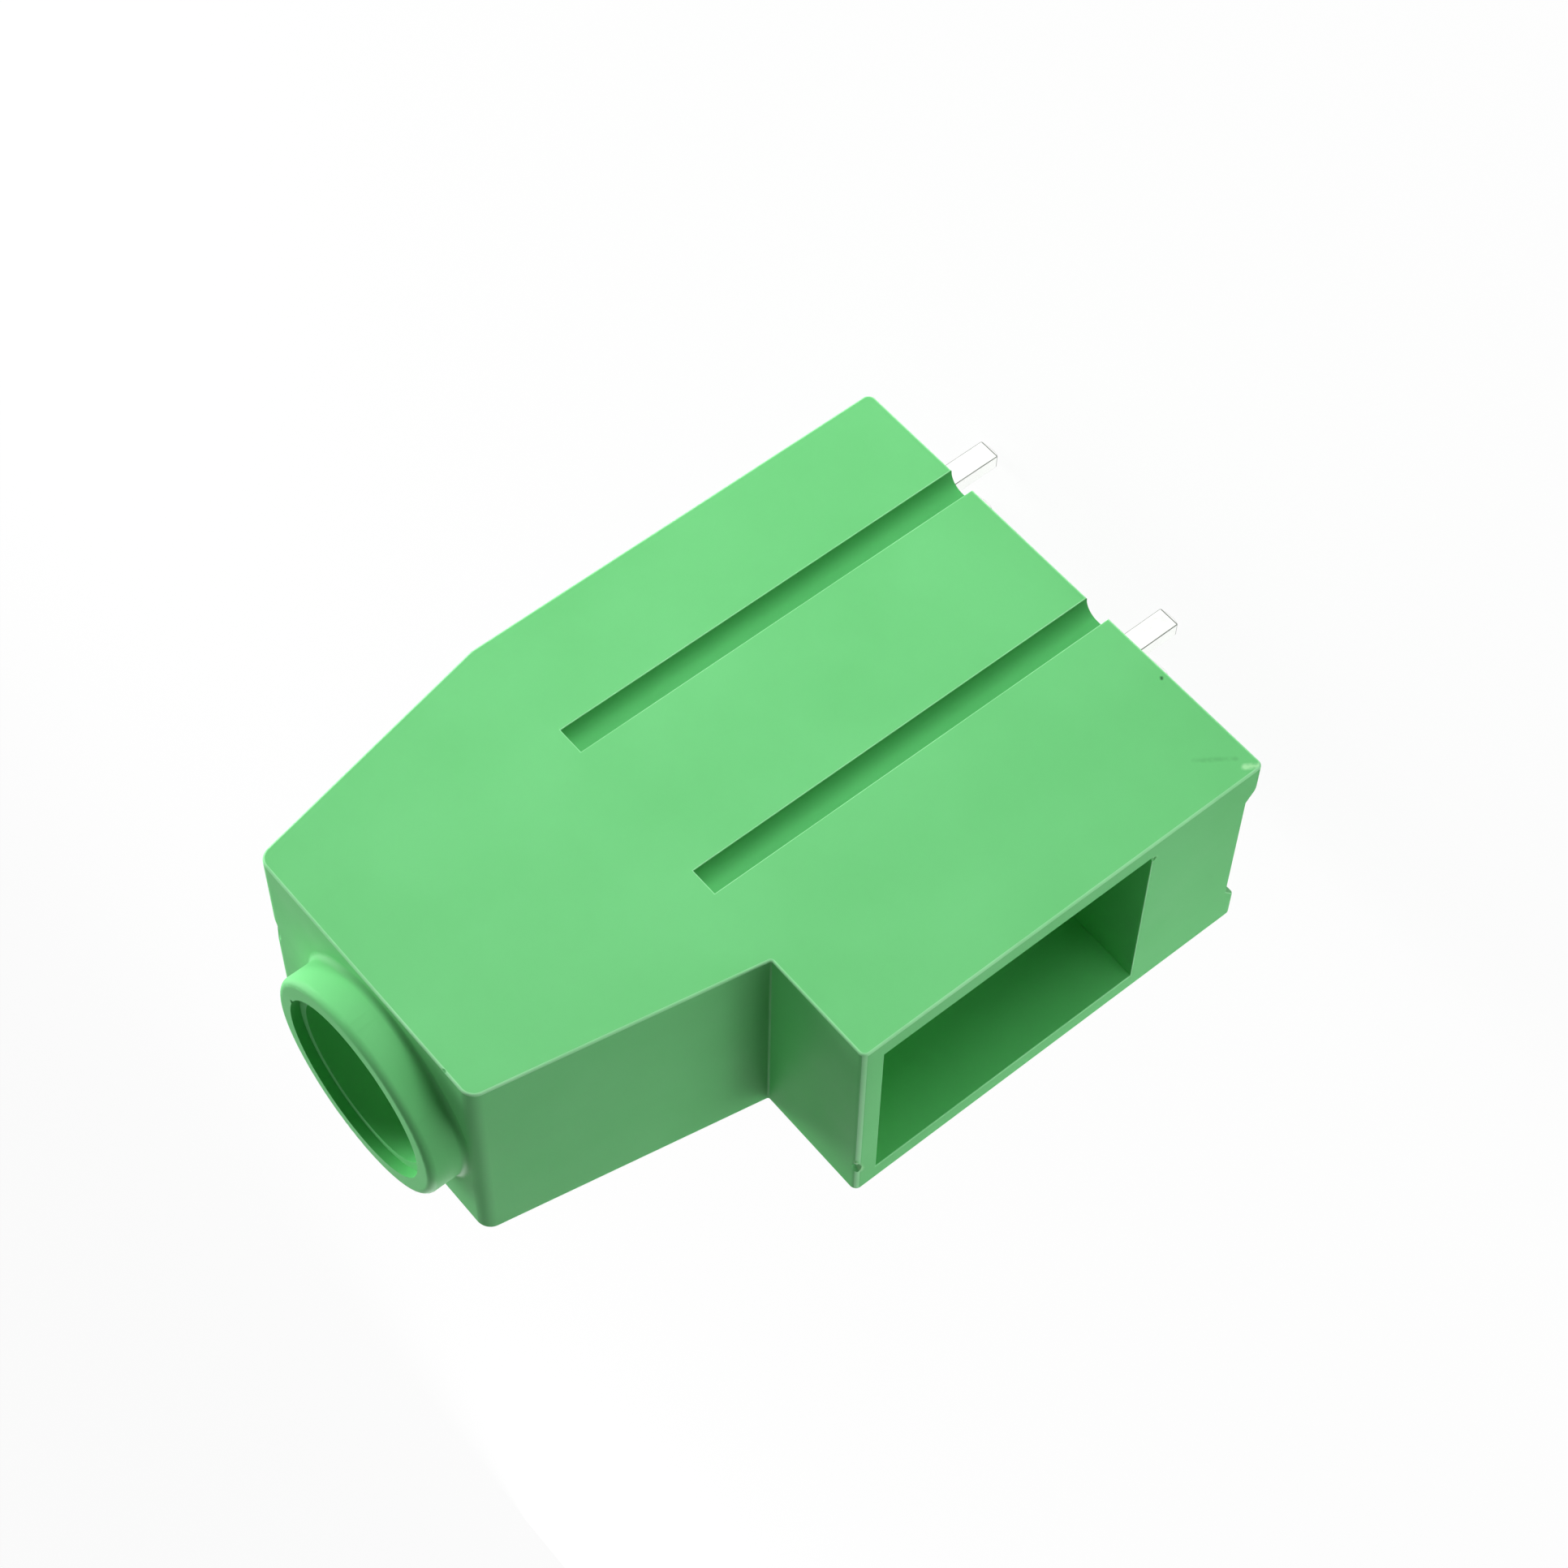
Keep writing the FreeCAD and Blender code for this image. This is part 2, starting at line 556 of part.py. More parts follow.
def make_clamp_sleeve():
    """Folded steel sleeve: window for wire and bar, gripping floor and threaded neck."""
    body = new_body("clamp_sleeve")
    outside = new_sketch(body, "sleeve_outline", "YZ_Plane", SCREW_AXIS)
    draw_rectangle(outside, f"-{SLEEVE_HALF}", SLEEVE_HALF, SLEEVE_BOTTOM, SLEEVE_TOP)
    folded = pad(body, "sleeve_block", outside, "sleeve_length", both_ways=True)
    side = worth(SLEEVE_HALF)
    dress(body, "Fillet", "folds", folded, edges_of(
        folded, lambda middle, along: same(along.y, 0) and same(along.z, 0)
        and same(abs(middle.y), side)), "Radius", "sleeve_corner_radius")
    window = new_sketch(body, "window_outline", "YZ_Plane", SCREW_AXIS)
    draw_rectangle(window, f"-{WINDOW_HALF}", WINDOW_HALF, SLEEVE_FLOOR, SLEEVE_ROOF)
    pocket(body, "window", window, both_ways=True)
    neck = new_sketch(body, "neck_outline", "XY_Plane", SLEEVE_TOP)
    draw_circle_on_axis(neck, NECK_RADIUS)
    pad(body, "neck", neck, "sleeve_neck_height")
    thread = new_sketch(body, "thread_outline", "XY_Plane", NECK_TOP)
    draw_circle_on_axis(thread, "screw_diameter / 2 + thread_clearance")
    pocket(body, "thread", thread, f"{NECK_TOP} - {SLEEVE_ROOF} + run_gap")
    grip = new_sketch(body, "grip_outline", "XZ_Plane")
    first = f"{SCREW_AXIS} - grip_spacing * {(GRIP_COUNT - 1) / 2}"
    draw_outline(grip, [
        (f"{first} - grip_width / 2", SLEEVE_FLOOR),
        (first, f"{SLEEVE_FLOOR} - grip_depth"),
        (f"{first} + grip_width / 2", SLEEVE_FLOOR),
        (first, f"{SLEEVE_FLOOR} + grip_depth"),
    ])
    groove = pocket(body, "grip", grip, f"2 * {WINDOW_HALF}", both_ways=True)
    repeat(body, "grip_row", groove, grip, "grip_spacing", GRIP_COUNT)
    return body


def make_clamp_screw():
    """Slotted screw: shank turned with its head, chamfered tip, slot across the head."""
    body = new_body("clamp_screw")
    tip_level = f"({RUN_TOP} + screw_tip_gap)"
    shank = new_sketch(body, "shank_outline", "XY_Plane", tip_level)
    draw_circle_on_axis(shank, "screw_diameter / 2")
    turned = pad(body, "shank", shank, f"{HEAD_UNDERSIDE} - {tip_level}")
    tip = worth(tip_level)
    dress(body, "Chamfer", "tip", turned, edges_of(
        turned, lambda middle, along: same(middle.z, tip)), "Size", "screw_tip_chamfer")
    head = new_sketch(body, "head_outline", "XY_Plane", HEAD_UNDERSIDE)
    draw_circle_on_axis(head, HEAD_RADIUS)
    turned = pad(body, "head", head, "head_height")
    top = worth(HEAD_TOP)
    dress(body, "Chamfer", "head_edge", turned, edges_of(
        turned, lambda middle, along: same(middle.z, top)), "Size", "head_chamfer")
    slot = new_sketch(body, "slot_outline", "XY_Plane", HEAD_TOP)
    draw_rectangle(slot, f"{SCREW_AXIS} - {SHAFT_RADIUS}", f"{SCREW_AXIS} + {SHAFT_RADIUS}",
                   "-slot_width / 2", "slot_width / 2")
    pocket(body, "slot", slot, "slot_depth")
    return body


def check_and_write(bodies):
    """Stop on any failed feature or broken shape, then write each piece."""
    document.recompute()
    for thing in document.Objects:
        if "Invalid" in thing.State or "Error" in thing.State:
            raise RuntimeError(f"{thing.Name} is {thing.State}")
    for body in bodies:
        shape = body.Shape
        if shape.isNull() or not shape.isValid() or len(shape.Solids) != 1:
            raise RuntimeError(f"{body.Label} is not one valid solid")
    os.makedirs("parts", exist_ok=True)
    for body in bodies:
        body.Shape.exportStep(f"parts/{body.Label}.step")
        box = body.Shape.BoundBox
        print(f"{body.Label}: {body.Shape.Volume:.1f} mm3,",
              f"X {box.XMin:.2f} to {box.XMax:.2f},",
              f"Y {box.YMin:.2f} to {box.YMax:.2f},",
              f"Z {box.ZMin:.2f} to {box.ZMax:.2f}")


fill_sheet()
check_and_write([
    make_housing(),
    make_base_cover(),
    make_current_bar(),
    make_clamp_sleeve(),
    make_clamp_screw(),
])
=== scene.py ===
import math
import bmesh
import bpy
from mathutils import Matrix, Vector


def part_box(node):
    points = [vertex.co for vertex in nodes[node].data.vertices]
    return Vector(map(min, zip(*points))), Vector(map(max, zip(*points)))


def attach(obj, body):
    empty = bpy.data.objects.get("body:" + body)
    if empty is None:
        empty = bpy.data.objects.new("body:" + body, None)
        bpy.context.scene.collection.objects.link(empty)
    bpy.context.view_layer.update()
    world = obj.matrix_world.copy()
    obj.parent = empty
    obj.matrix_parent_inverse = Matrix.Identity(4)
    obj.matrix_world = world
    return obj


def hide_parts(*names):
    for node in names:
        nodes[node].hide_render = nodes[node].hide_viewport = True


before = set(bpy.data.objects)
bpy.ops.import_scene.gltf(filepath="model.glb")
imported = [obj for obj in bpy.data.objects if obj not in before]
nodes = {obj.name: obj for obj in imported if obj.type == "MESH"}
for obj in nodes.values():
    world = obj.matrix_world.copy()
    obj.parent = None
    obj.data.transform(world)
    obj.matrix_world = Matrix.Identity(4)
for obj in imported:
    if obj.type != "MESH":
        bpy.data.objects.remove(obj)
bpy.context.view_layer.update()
scene = bpy.context.scene
# all sizes are in metres, in the frame of the solids
MM = 0.001

# Housing. One injection moulding in green polyamide, satin where it met the polished mould.
# Its recesses, grooves and the top of the step are painted a deeper green as painted shade,
# and its rounded edges are painted pale as painted highlight. This one has dark specks, a dark
# crease painted as painted shade, pale patches at one foot and beside two chips that are partly
# whitened plastic and partly painted highlight, and chips at the step, the entry, the collar
# and the tower.
PLASTIC_GREEN = (0.164, 0.604, 0.212, 1.0)
PLASTIC_PALE = (0.178, 0.632, 0.230, 1.0)
# edge greens: painted highlight on the rounded edges and on the step's front corner
EDGE_HIGHLIGHT_GREEN = (0.320, 0.820, 0.380, 1.0)
EDGE_HIGHLIGHT_PALE = (0.400, 0.870, 0.460, 1.0)
# recess greens: painted shade on faces that look at another wall and on the top of the step
SHADED_RECESS_GREEN = (0.122, 0.600, 0.172, 1.0)
SHADED_RECESS_PALE = (0.132, 0.620, 0.184, 1.0)
# groove greens: painted shade in the grooves
GROOVE_SHADE_GREEN = (0.100, 0.480, 0.144, 1.0)
GROOVE_SHADE_PALE = (0.108, 0.500, 0.154, 1.0)
# dark specks in the plastic, and the same dark at low strength as painted shade along a crease
SPECK_AND_CREASE_SHADE_DARK = (0.025, 0.130, 0.035, 1.0)
# pale patches: partly whitened plastic at dents and chips, partly painted highlight
BRUISE_AND_HIGHLIGHT_PALE = (0.460, 0.880, 0.460, 1.0)
PLASTIC_ROUGHNESS = (0.42, 0.51)
PLASTIC_IOR = 1.50
PLASTIC_SHINE = 0.04
TONE_CLOUDS = 9.0 * MM
TONE_SPAN = (0.35, 0.65)
GLOSS_CLOUDS = 3.0 * MM
GLOSS_SPAN = (0.3, 0.7)
SINK_SIZE = 7.0 * MM
SINK_DEPTH = 0.06 * MM
SINK_STRENGTH = 0.25
GRAIN_SIZE = 0.12 * MM
GRAIN_DEPTH = 0.004 * MM
GRAIN_STRENGTH = 0.10
GLOW_SHARE = 0.06
GLOW_REACH = 0.6 * MM
GLOW_COLOUR = (0.4, 1.0, 0.5)
CRUMB_SIZE = 0.5 * MM
CRUMB_SPAN = (0.3, 0.6)
LEAST_MARKED = 0.3
MARKED_SPAN = (0.15, 0.7)
STONE_RADIUS = 1.0 * MM
STONE_UNEVEN = 0.16 * MM

MERGE_WITHIN = 0.002 * MM
ON_FACE_WITHIN = 0.01 * MM
FLAT_WITHIN = math.radians(0.5)
SMOOTH_UNDER = math.radians(32)
SHARP_OVER = math.radians(50)
EDGE_SOFTNESS = 0.07 * MM
SIDE_EDGE_RADIUS = 0.15 * MM
ENTRY_LIP = 0.3 * MM
GROOVE_REACH = 1.2 * MM
GROOVE_END = 27.5 * MM
STEP_LEVEL = 27.45 * MM
# how much of a normal points sideways, forwards or up where a face counts as rounded or level
SIDEWAYS_FROM = 0.05
SIDEWAYS_TO = 0.995
FORWARDS_FROM = 0.55
UPWARDS_FROM = 0.3
LEVEL_FROM = 0.9
# a piece's materials, in the order of its slots
# edge slot: painted highlight on the housing, painted shade on the bar; recess, groove: painted
# shade
PLAIN, EDGE, SHADED_RECESS, GROOVE = range(4)


def shader(name, ior, metallic=0.0):
    """A new material with one principled shader, and its node tree."""
    material = bpy.data.materials.new(name)
    material.use_nodes = True
    tree = material.node_tree
    face = tree.nodes["Principled BSDF"]
    face.inputs["Metallic"].default_value = metallic
    face.inputs["IOR"].default_value = ior
    return material, tree, face


def add(tree, kind, **values):
    """A new node; plain words are its own settings, a dict under inputs fills its sockets."""
    node = tree.nodes.new(kind)
    for socket, value in values.pop("inputs", {}).items():
        node.inputs[socket].default_value = value
    for setting, value in values.items():
        setattr(node, setting, value)
    return node


def own_place(tree):
    """The point's place on the piece, in metres."""
    return add(tree, "ShaderNodeTexCoord").outputs["Object"]


def clouds(tree, place, size, detail=2.0):
    """Soft random patches of about that size."""
    node = add(tree, "ShaderNodeTexNoise", noise_dimensions="3D",
               inputs={"Scale": 1.0 / size, "Detail": detail, "Roughness": 0.5})
    tree.links.new(place, node.inputs["Vector"])
    return node.outputs["Fac"]


def spread(tree, value, low, high, low_to=0.0, high_to=1.0):
    """Stretch a value between two limits on to two others."""
    node = add(tree, "ShaderNodeMapRange", clamp=True,
               inputs={"From Min": low, "From Max": high, "To Min": low_to, "To Max": high_to})
    tree.links.new(value, node.inputs["Value"])
    return node.outputs["Result"]


def blend_colours(tree, share, first, second):
    """Go from the first colour to the second by a share; either may be a link or a colour."""
    node = add(tree, "ShaderNodeMix", data_type="RGBA")
    tree.links.new(share, node.inputs["Factor"])
    for socket, colour in ((node.inputs[6], first), (node.inputs[7], second)):
        if isinstance(colour, tuple):
            socket.default_value = colour
        else:
            tree.links.new(colour, socket)
    return node.outputs[2]


def vectors(tree, operation, first, second):
    """One sum with two vectors, each of them a link or a fixed vector."""
    node = add(tree, "ShaderNodeVectorMath", operation=operation)
    for socket, vector in zip(node.inputs, (first, second)):
        if isinstance(vector, Vector):
            socket.default_value = vector
        else:
            tree.links.new(vector, socket)
    return node


def near_line(tree, place, start, end, radius):
    """1 on the line between two places, falling to 0 at the radius."""
    run = end - start
    offset = vectors(tree, "SUBTRACT", place, start).outputs["Vector"]
    along = vectors(tree, "DOT_PRODUCT", offset, run).outputs["Value"]
    share = spread(tree, along, 0.0, run.length_squared)
    step = add(tree, "ShaderNodeVectorMath", operation="SCALE")
    step.inputs[0].default_value = run
    tree.links.new(share, step.inputs["Scale"])
    distance = vectors(tree, "DISTANCE", offset, step.outputs["Vector"]).outputs["Value"]
    return spread(tree, distance, 0.0, radius, 1.0, 0.0)


def relief(tree, height, strength, depth, under=None):
    """Raise or sink the surface by a height, over another relief if there is one."""
    node = add(tree, "ShaderNodeBump", inputs={"Strength": strength, "Distance": depth})
    tree.links.new(height, node.inputs["Height"])
    if under is not None:
        tree.links.new(under, node.inputs["Normal"])
    return node.outputs["Normal"]


def with_mark(tree, place, colour, start, end, radius, tint, strength):
    """The colour with one ragged mark in it, along the line between two places in millimetres."""
    crumbs = clouds(tree, place, CRUMB_SIZE, detail=3.0)
    near = near_line(tree, place, Vector(start) * MM, Vector(end) * MM, radius * MM)
    ragged_mark = add(tree, "ShaderNodeMath", operation="MULTIPLY")
    tree.links.new(near, ragged_mark.inputs[0])
    tree.links.new(spread(tree, crumbs, *CRUMB_SPAN, LEAST_MARKED, 1.0), ragged_mark.inputs[1])
    share = spread(tree, ragged_mark.outputs[0], *MARKED_SPAN, 0.0, strength)
    return blend_colours(tree, share, colour, tint)


def moulded_plastic(name, green, pale, marks=()):
    """Satin moulded plastic: faint clouds of tone and gloss, shallow sinks and fine grain."""
    material, tree, face = shader(name, PLASTIC_IOR)
    face.inputs["Specular IOR Level"].default_value = PLASTIC_SHINE
    place = own_place(tree)
    flow = clouds(tree, place, TONE_CLOUDS, detail=3.0)
    colour = blend_colours(tree, spread(tree, flow, *TONE_SPAN), green, pale)
    for mark in marks:
        colour = with_mark(tree, place, colour, *mark)
    tree.links.new(colour, face.inputs["Base Color"])
    gloss = spread(tree, clouds(tree, place, GLOSS_CLOUDS, detail=4.0), *GLOSS_SPAN,
                   *PLASTIC_ROUGHNESS)
    tree.links.new(gloss, face.inputs["Roughness"])
    sinks = relief(tree, clouds(tree, place, SINK_SIZE, detail=1.0), SINK_STRENGTH, SINK_DEPTH)
    grain = relief(tree, clouds(tree, place, GRAIN_SIZE), GRAIN_STRENGTH, GRAIN_DEPTH, sinks)
    tree.links.new(grain, face.inputs["Normal"])
    face.inputs["Subsurface Weight"].default_value = GLOW_SHARE
    face.inputs["Subsurface Radius"].default_value = GLOW_COLOUR
    face.inputs["Subsurface Scale"].default_value = GLOW_REACH
    return material


def take(piece):
    """Select just this piece."""
    bpy.ops.object.select_all(action="DESELECT")
    piece.select_set(True)
    bpy.context.view_layer.objects.active = piece


def whole_copy(node, name):
    """A copy of a CAD piece with its loose triangles merged to whole faces, and room for two
    materials: its own and one for its edges."""
    piece = bpy.data.objects.new(name, nodes[node].data.copy())
    piece.data.materials.clear()
    piece.data.materials.append(None)
    piece.data.materials.append(None)
    scene.collection.objects.link(piece)
    take(piece)
    bpy.ops.mesh.customdata_custom_splitnormals_clear()
    bpy.ops.object.mode_set(mode="EDIT")
    bpy.ops.mesh.select_all(action="SELECT")
    bpy.ops.mesh.remove_doubles(threshold=MERGE_WITHIN)
    bpy.ops.mesh.dissolve_limited(angle_limit=FLAT_WITHIN)
    bpy.ops.object.mode_set(mode="OBJECT")
    return piece


def pick(piece, kind, wanted):
    """In edit mode, select just the edges or faces that a test allows."""
    bpy.ops.mesh.select_mode(type=kind)
    bpy.ops.mesh.select_all(action="DESELECT")
    mesh = bmesh.from_edit_mesh(piece.data)
    mesh.normal_update()
    for part in (mesh.edges if kind == "EDGE" else mesh.faces):
        if wanted(part):
            part.select_set(True)
    bmesh.update_edit_mesh(piece.data)


def middle_of(edge):
    """The middle of an edge."""
    return (edge.verts[0].co + edge.verts[1].co) / 2


def join_by(operation, piece, tool):
    """Cut a tool out of a piece, join it on or keep what both share, and clear the tool away."""
    change = piece.modifiers.new(operation.lower(), "BOOLEAN")
    change.operation = operation
    change.solver = "EXACT"
    change.object = tool
    take(piece)
    bpy.ops.object.modifier_apply(modifier=change.name)
    bpy.data.objects.remove(tool)


def put_in_place(piece, node, body, slot, *materials):
    """Shade a new piece, finish it, and let it stand for its CAD node on that body."""
    take(piece)
    bpy.ops.object.transform_apply(location=True, rotation=True, scale=True)
    bpy.ops.object.shade_smooth_by_angle(angle=SMOOTH_UNDER, keep_sharp_edges=False)
    flat = piece.modifiers.new("flat_faces", "WEIGHTED_NORMAL")
    flat.keep_sharp = True
    bpy.ops.object.modifier_apply(modifier=flat.name)
    parts = [face.material_index for face in piece.data.polygons]
    piece.data.materials.clear()
    for material in materials:
        piece.data.materials.append(material)
    for face, part in zip(piece.data.polygons, parts):
        face.material_index = min(part, len(materials) - 1)
    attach(piece, body)
    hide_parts(node)


def stone(place, size, seed):
    """A small rough stone, to break a chip out with or to leave as a burr."""
    bpy.ops.object.select_all(action="DESELECT")
    bpy.ops.mesh.primitive_ico_sphere_add(subdivisions=2, radius=STONE_RADIUS,
                                          location=Vector(place) * MM)
    lump = bpy.context.object
    bpy.ops.object.mode_set(mode="EDIT")
    bpy.ops.mesh.select_all(action="SELECT")
    bpy.ops.transform.vertex_random(offset=STONE_UNEVEN, seed=seed)
    bpy.ops.transform.resize(value=size, center_override=Vector(place) * MM)
    bpy.ops.object.mode_set(mode="OBJECT")
    return lump


front_face, side_face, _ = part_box("housing")[1]
under_grooves = side_face - GROOVE_REACH
housing = whole_copy("housing", "housing_moulding")


def painted_highlight_face(face):
    """Whether a face is on a side face's rounded edge, or on the front corner of the step; these
    faces are painted pale as painted highlight.
    """
    middle = face.calc_center_median()
    if abs(middle.y) > side_face - SIDE_EDGE_RADIUS:
        if SIDEWAYS_FROM < abs(face.normal.y) < SIDEWAYS_TO:
            return True
    turned_up = face.normal.x > FORWARDS_FROM and face.normal.z > UPWARDS_FROM
    return turned_up and middle.x > front_face - ENTRY_LIP


def sharp_outside(edge):
    """Whether an edge is a sharp outer one: a groove's mouth, the wire entry's or a foot's."""
    if len(edge.link_faces) != 2 or not edge.is_convex or edge.calc_face_angle() < SHARP_OVER:
        return False
    middle = middle_of(edge)
    return middle.y > side_face - ON_FACE_WITHIN or middle.x > front_face - ENTRY_LIP


take(housing)
bpy.ops.object.mode_set(mode="EDIT")
pick(housing, "FACE", painted_highlight_face)
for face in bmesh.from_edit_mesh(housing.data).faces:
    face.material_index = EDGE if face.select else PLAIN
bmesh.update_edit_mesh(housing.data)
# the sharp outer edges are rounded, and their rounds take the pale edge green as painted
# highlight
pick(housing, "EDGE", sharp_outside)
bpy.ops.mesh.bevel(offset=EDGE_SOFTNESS, offset_type="WIDTH", segments=2, affect="EDGES",
                   clamp_overlap=False, material=EDGE)
bpy.ops.object.mode_set(mode="OBJECT")

# place in millimetres and stretch of the stone that broke each chip out
CHIPS = (
    ((19.66, -4.98, 27.46), (0.42, 0.50, 0.40)),
    ((19.76, 5.98, 7.66), (0.26, 0.20, 0.22)),
    ((-8.60, 0.60, 44.08), (0.60, 1.35, 0.42)),
    ((-3.42, 2.14, 46.34), (0.32, 0.30, 0.36)),
    ((7.06, 7.56, 44.09), (0.26, 0.22, 0.22)),
)
BURR = ((19.48, -4.36, 27.30), (0.14, 0.20, 0.14))
for seed, (place, size) in enumerate(CHIPS):
    join_by("DIFFERENCE", housing, stone(place, size, seed))
join_by("UNION", housing, stone(*BURR, len(CHIPS)))

# faces that look at another wall of the housing, and the top of the step, are given a deeper
# green as painted shade, where less light reaches them; the grooves get their own painted shade
for face in housing.data.polygons:
    if face.material_index == PLAIN:
        middle = face.center
        if (under_grooves < middle.y < side_face - ON_FACE_WITHIN
                and MERGE_WITHIN < middle.z < GROOVE_END):
            face.material_index = GROOVE
        elif abs(middle.z - STEP_LEVEL) < EDGE_SOFTNESS and face.normal.z > LEVEL_FROM:
            face.material_index = SHADED_RECESS
        elif housing.ray_cast(middle + face.normal * MERGE_WITHIN, face.normal)[0]:
            face.material_index = SHADED_RECESS

# start, end and radius in millimetres, colour and strength of each speck, crease and bruise; the
# crease is painted shade, the bruises partly whitened plastic and partly painted highlight
MARKS = (
    ((12.21, 7.5, 0.45), (12.27, 7.5, 0.50), 0.16, SPECK_AND_CREASE_SHADE_DARK, 0.9),
    ((5.60, 6.6, 11.45), (5.70, 6.9, 11.60), 0.22, SPECK_AND_CREASE_SHADE_DARK, 0.8),
    # a long faint dark line: a crease painted as painted shade
    ((17.12, 7.5, 2.69), (18.42, 7.5, 0.94), 0.26, SPECK_AND_CREASE_SHADE_DARK, 0.17),
    # a pale dent at the foot's corner: partly whitened plastic, partly painted highlight
    ((19.10, 7.5, 0.90), (19.62, 7.5, 0.05), 0.32, BRUISE_AND_HIGHLIGHT_PALE, 0.85),
    # the next two, beside the chips at the entry and the step: partly whitened, partly painted
    # highlight
    ((19.62, 6.05, 7.80), (19.62, 5.90, 7.50), 0.34, BRUISE_AND_HIGHLIGHT_PALE, 0.45),
    ((19.62, -4.30, 27.40), (19.62, -5.35, 27.10), 0.34, BRUISE_AND_HIGHLIGHT_PALE, 0.60),
)
put_in_place(housing, "housing", "block", "green_plastic",
             moulded_plastic("housing_green", PLASTIC_GREEN, PLASTIC_PALE, MARKS),
             moulded_plastic("housing_edge_highlight_green", EDGE_HIGHLIGHT_GREEN, EDGE_HIGHLIGHT_PALE),
             moulded_plastic("housing_shaded_recess_green", SHADED_RECESS_GREEN, SHADED_RECESS_PALE, MARKS),
             moulded_plastic("housing_groove_shade_green", GROOVE_SHADE_GREEN, GROOVE_SHADE_PALE, MARKS))

# Clamp screw. A slotted M6 steel screw, turned and plated. Its head lies deep in the round
# shaft and its tip bears on the current bar.
STEEL_GREY = (0.62, 0.61, 0.58, 1.0)
STEEL_WARM = (0.70, 0.68, 0.62, 1.0)
STEEL_ROUGHNESS = (0.24, 0.38)
METAL_IOR = 1.5
METAL_CLOUDS = 1.5 * MM
METAL_GLOSS_CLOUDS = 0.5 * MM
TOOL_MARK_DEPTH = 0.004 * MM
TOOL_MARK_STRENGTH = 0.25
# tool marks in a metre, along each axis
TURNED_MARKS = (400.0, 400.0, 9000.0)


def plated_metal(name, dark, bright, roughness, marks, depth=TOOL_MARK_DEPTH):
    """Plated metal: soft clouds of tone and gloss over fine turning or rolling marks."""
    material, tree, face = shader(name, METAL_IOR, metallic=1.0)
    place = own_place(tree)
    tone = spread(tree, clouds(tree, place, METAL_CLOUDS), *TONE_SPAN)
    tree.links.new(blend_colours(tree, tone, dark, bright), face.inputs["Base Color"])
    gloss = spread(tree, clouds(tree, place, METAL_GLOSS_CLOUDS, detail=4.0), *GLOSS_SPAN,
                   *roughness)
    tree.links.new(gloss, face.inputs["Roughness"])
    stretch = add(tree, "ShaderNodeMapping", inputs={"Scale": marks})
    tree.links.new(place, stretch.inputs["Vector"])
    lines = clouds(tree, stretch.outputs["Vector"], 1.0, detail=3.0)
    tree.links.new(relief(tree, lines, TOOL_MARK_STRENGTH, depth), face.inputs["Normal"])
    return material


THREAD_PITCH = 1.0 * MM
THREAD_CREST = 3.0 * MM
THREAD_ROOT = 2.43 * MM
CREST_FLAT = THREAD_PITCH / 8
ROOT_FLAT = THREAD_PITCH / 4
THREAD_STEPS = 48
CUT_EXACT = 0.0001 * MM
TIP_CHAMFER = 0.8 * MM
HEAD_HEIGHT = 5.0 * MM
HEAD_CHAMFER = 0.4 * MM
SLOT_WIDTH = 1.6 * MM
SLOT_DEPTH = 2.4 * MM
ROD_IN_HEAD = 1.6 * MM
BLANK_IN_HEAD = 2.4 * MM
OVERSIZE = 0.3 * MM
ROUND_STEPS = 96
screw_low, screw_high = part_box("clamp_screw")
screw_axis = (screw_low.x + screw_high.x) / 2
head_radius = (screw_high.x - screw_low.x) / 2
head_underside = screw_high.z - HEAD_HEIGHT


def threaded_rod(name, low, high, looser=0.0):
    """A closed rod on the screw's axis; all rods made here are cut to the same helix."""
    first = (math.floor(low / THREAD_PITCH) - 1) * THREAD_PITCH
    flank = (THREAD_PITCH - CREST_FLAT - ROOT_FLAT) / 2
    height = THREAD_CREST - THREAD_ROOT
    bpy.ops.object.select_all(action="DESELECT")
    bpy.ops.mesh.primitive_plane_add(size=THREAD_PITCH, location=(screw_axis, 0, first))
    rod = bpy.context.object
    rod.name = name
    bpy.ops.object.mode_set(mode="EDIT")
    bpy.ops.mesh.select_mode(type="VERT")
    bpy.ops.mesh.select_all(action="SELECT")
    bpy.ops.mesh.merge(type="CENTER")
    bpy.ops.transform.translate(value=(THREAD_ROOT + looser, 0, 0))
    for out, up in ((0, ROOT_FLAT), (height, flank), (0, CREST_FLAT), (-height, flank)):
        bpy.ops.mesh.extrude_region_move(TRANSFORM_OT_translate={"value": (out, 0, up)})
    bpy.ops.object.mode_set(mode="OBJECT")
    turn = rod.modifiers.new("thread", "SCREW")
    turn.screw_offset = THREAD_PITCH
    turn.iterations = math.ceil((high - first) / THREAD_PITCH) + 1
    turn.steps = THREAD_STEPS
    turn.render_steps = THREAD_STEPS
    bpy.ops.object.modifier_apply(modifier=turn.name)
    bpy.ops.object.transform_apply(location=True, rotation=True, scale=True)
    bpy.ops.object.mode_set(mode="EDIT")
    bpy.ops.mesh.select_all(action="SELECT")
    bpy.ops.mesh.remove_doubles(threshold=MERGE_WITHIN)
    bpy.ops.mesh.bisect(plane_co=(0, 0, low), plane_no=(0, 0, 1), use_fill=True,
                        clear_inner=True, threshold=CUT_EXACT)
    bpy.ops.mesh.select_all(action="SELECT")
    bpy.ops.mesh.bisect(plane_co=(0, 0, high), plane_no=(0, 0, 1), use_fill=True,
                        clear_outer=True, threshold=CUT_EXACT)
    bpy.ops.mesh.select_all(action="SELECT")
    bpy.ops.mesh.normals_make_consistent(inside=False)
    bpy.ops.object.mode_set(mode="OBJECT")
    return rod


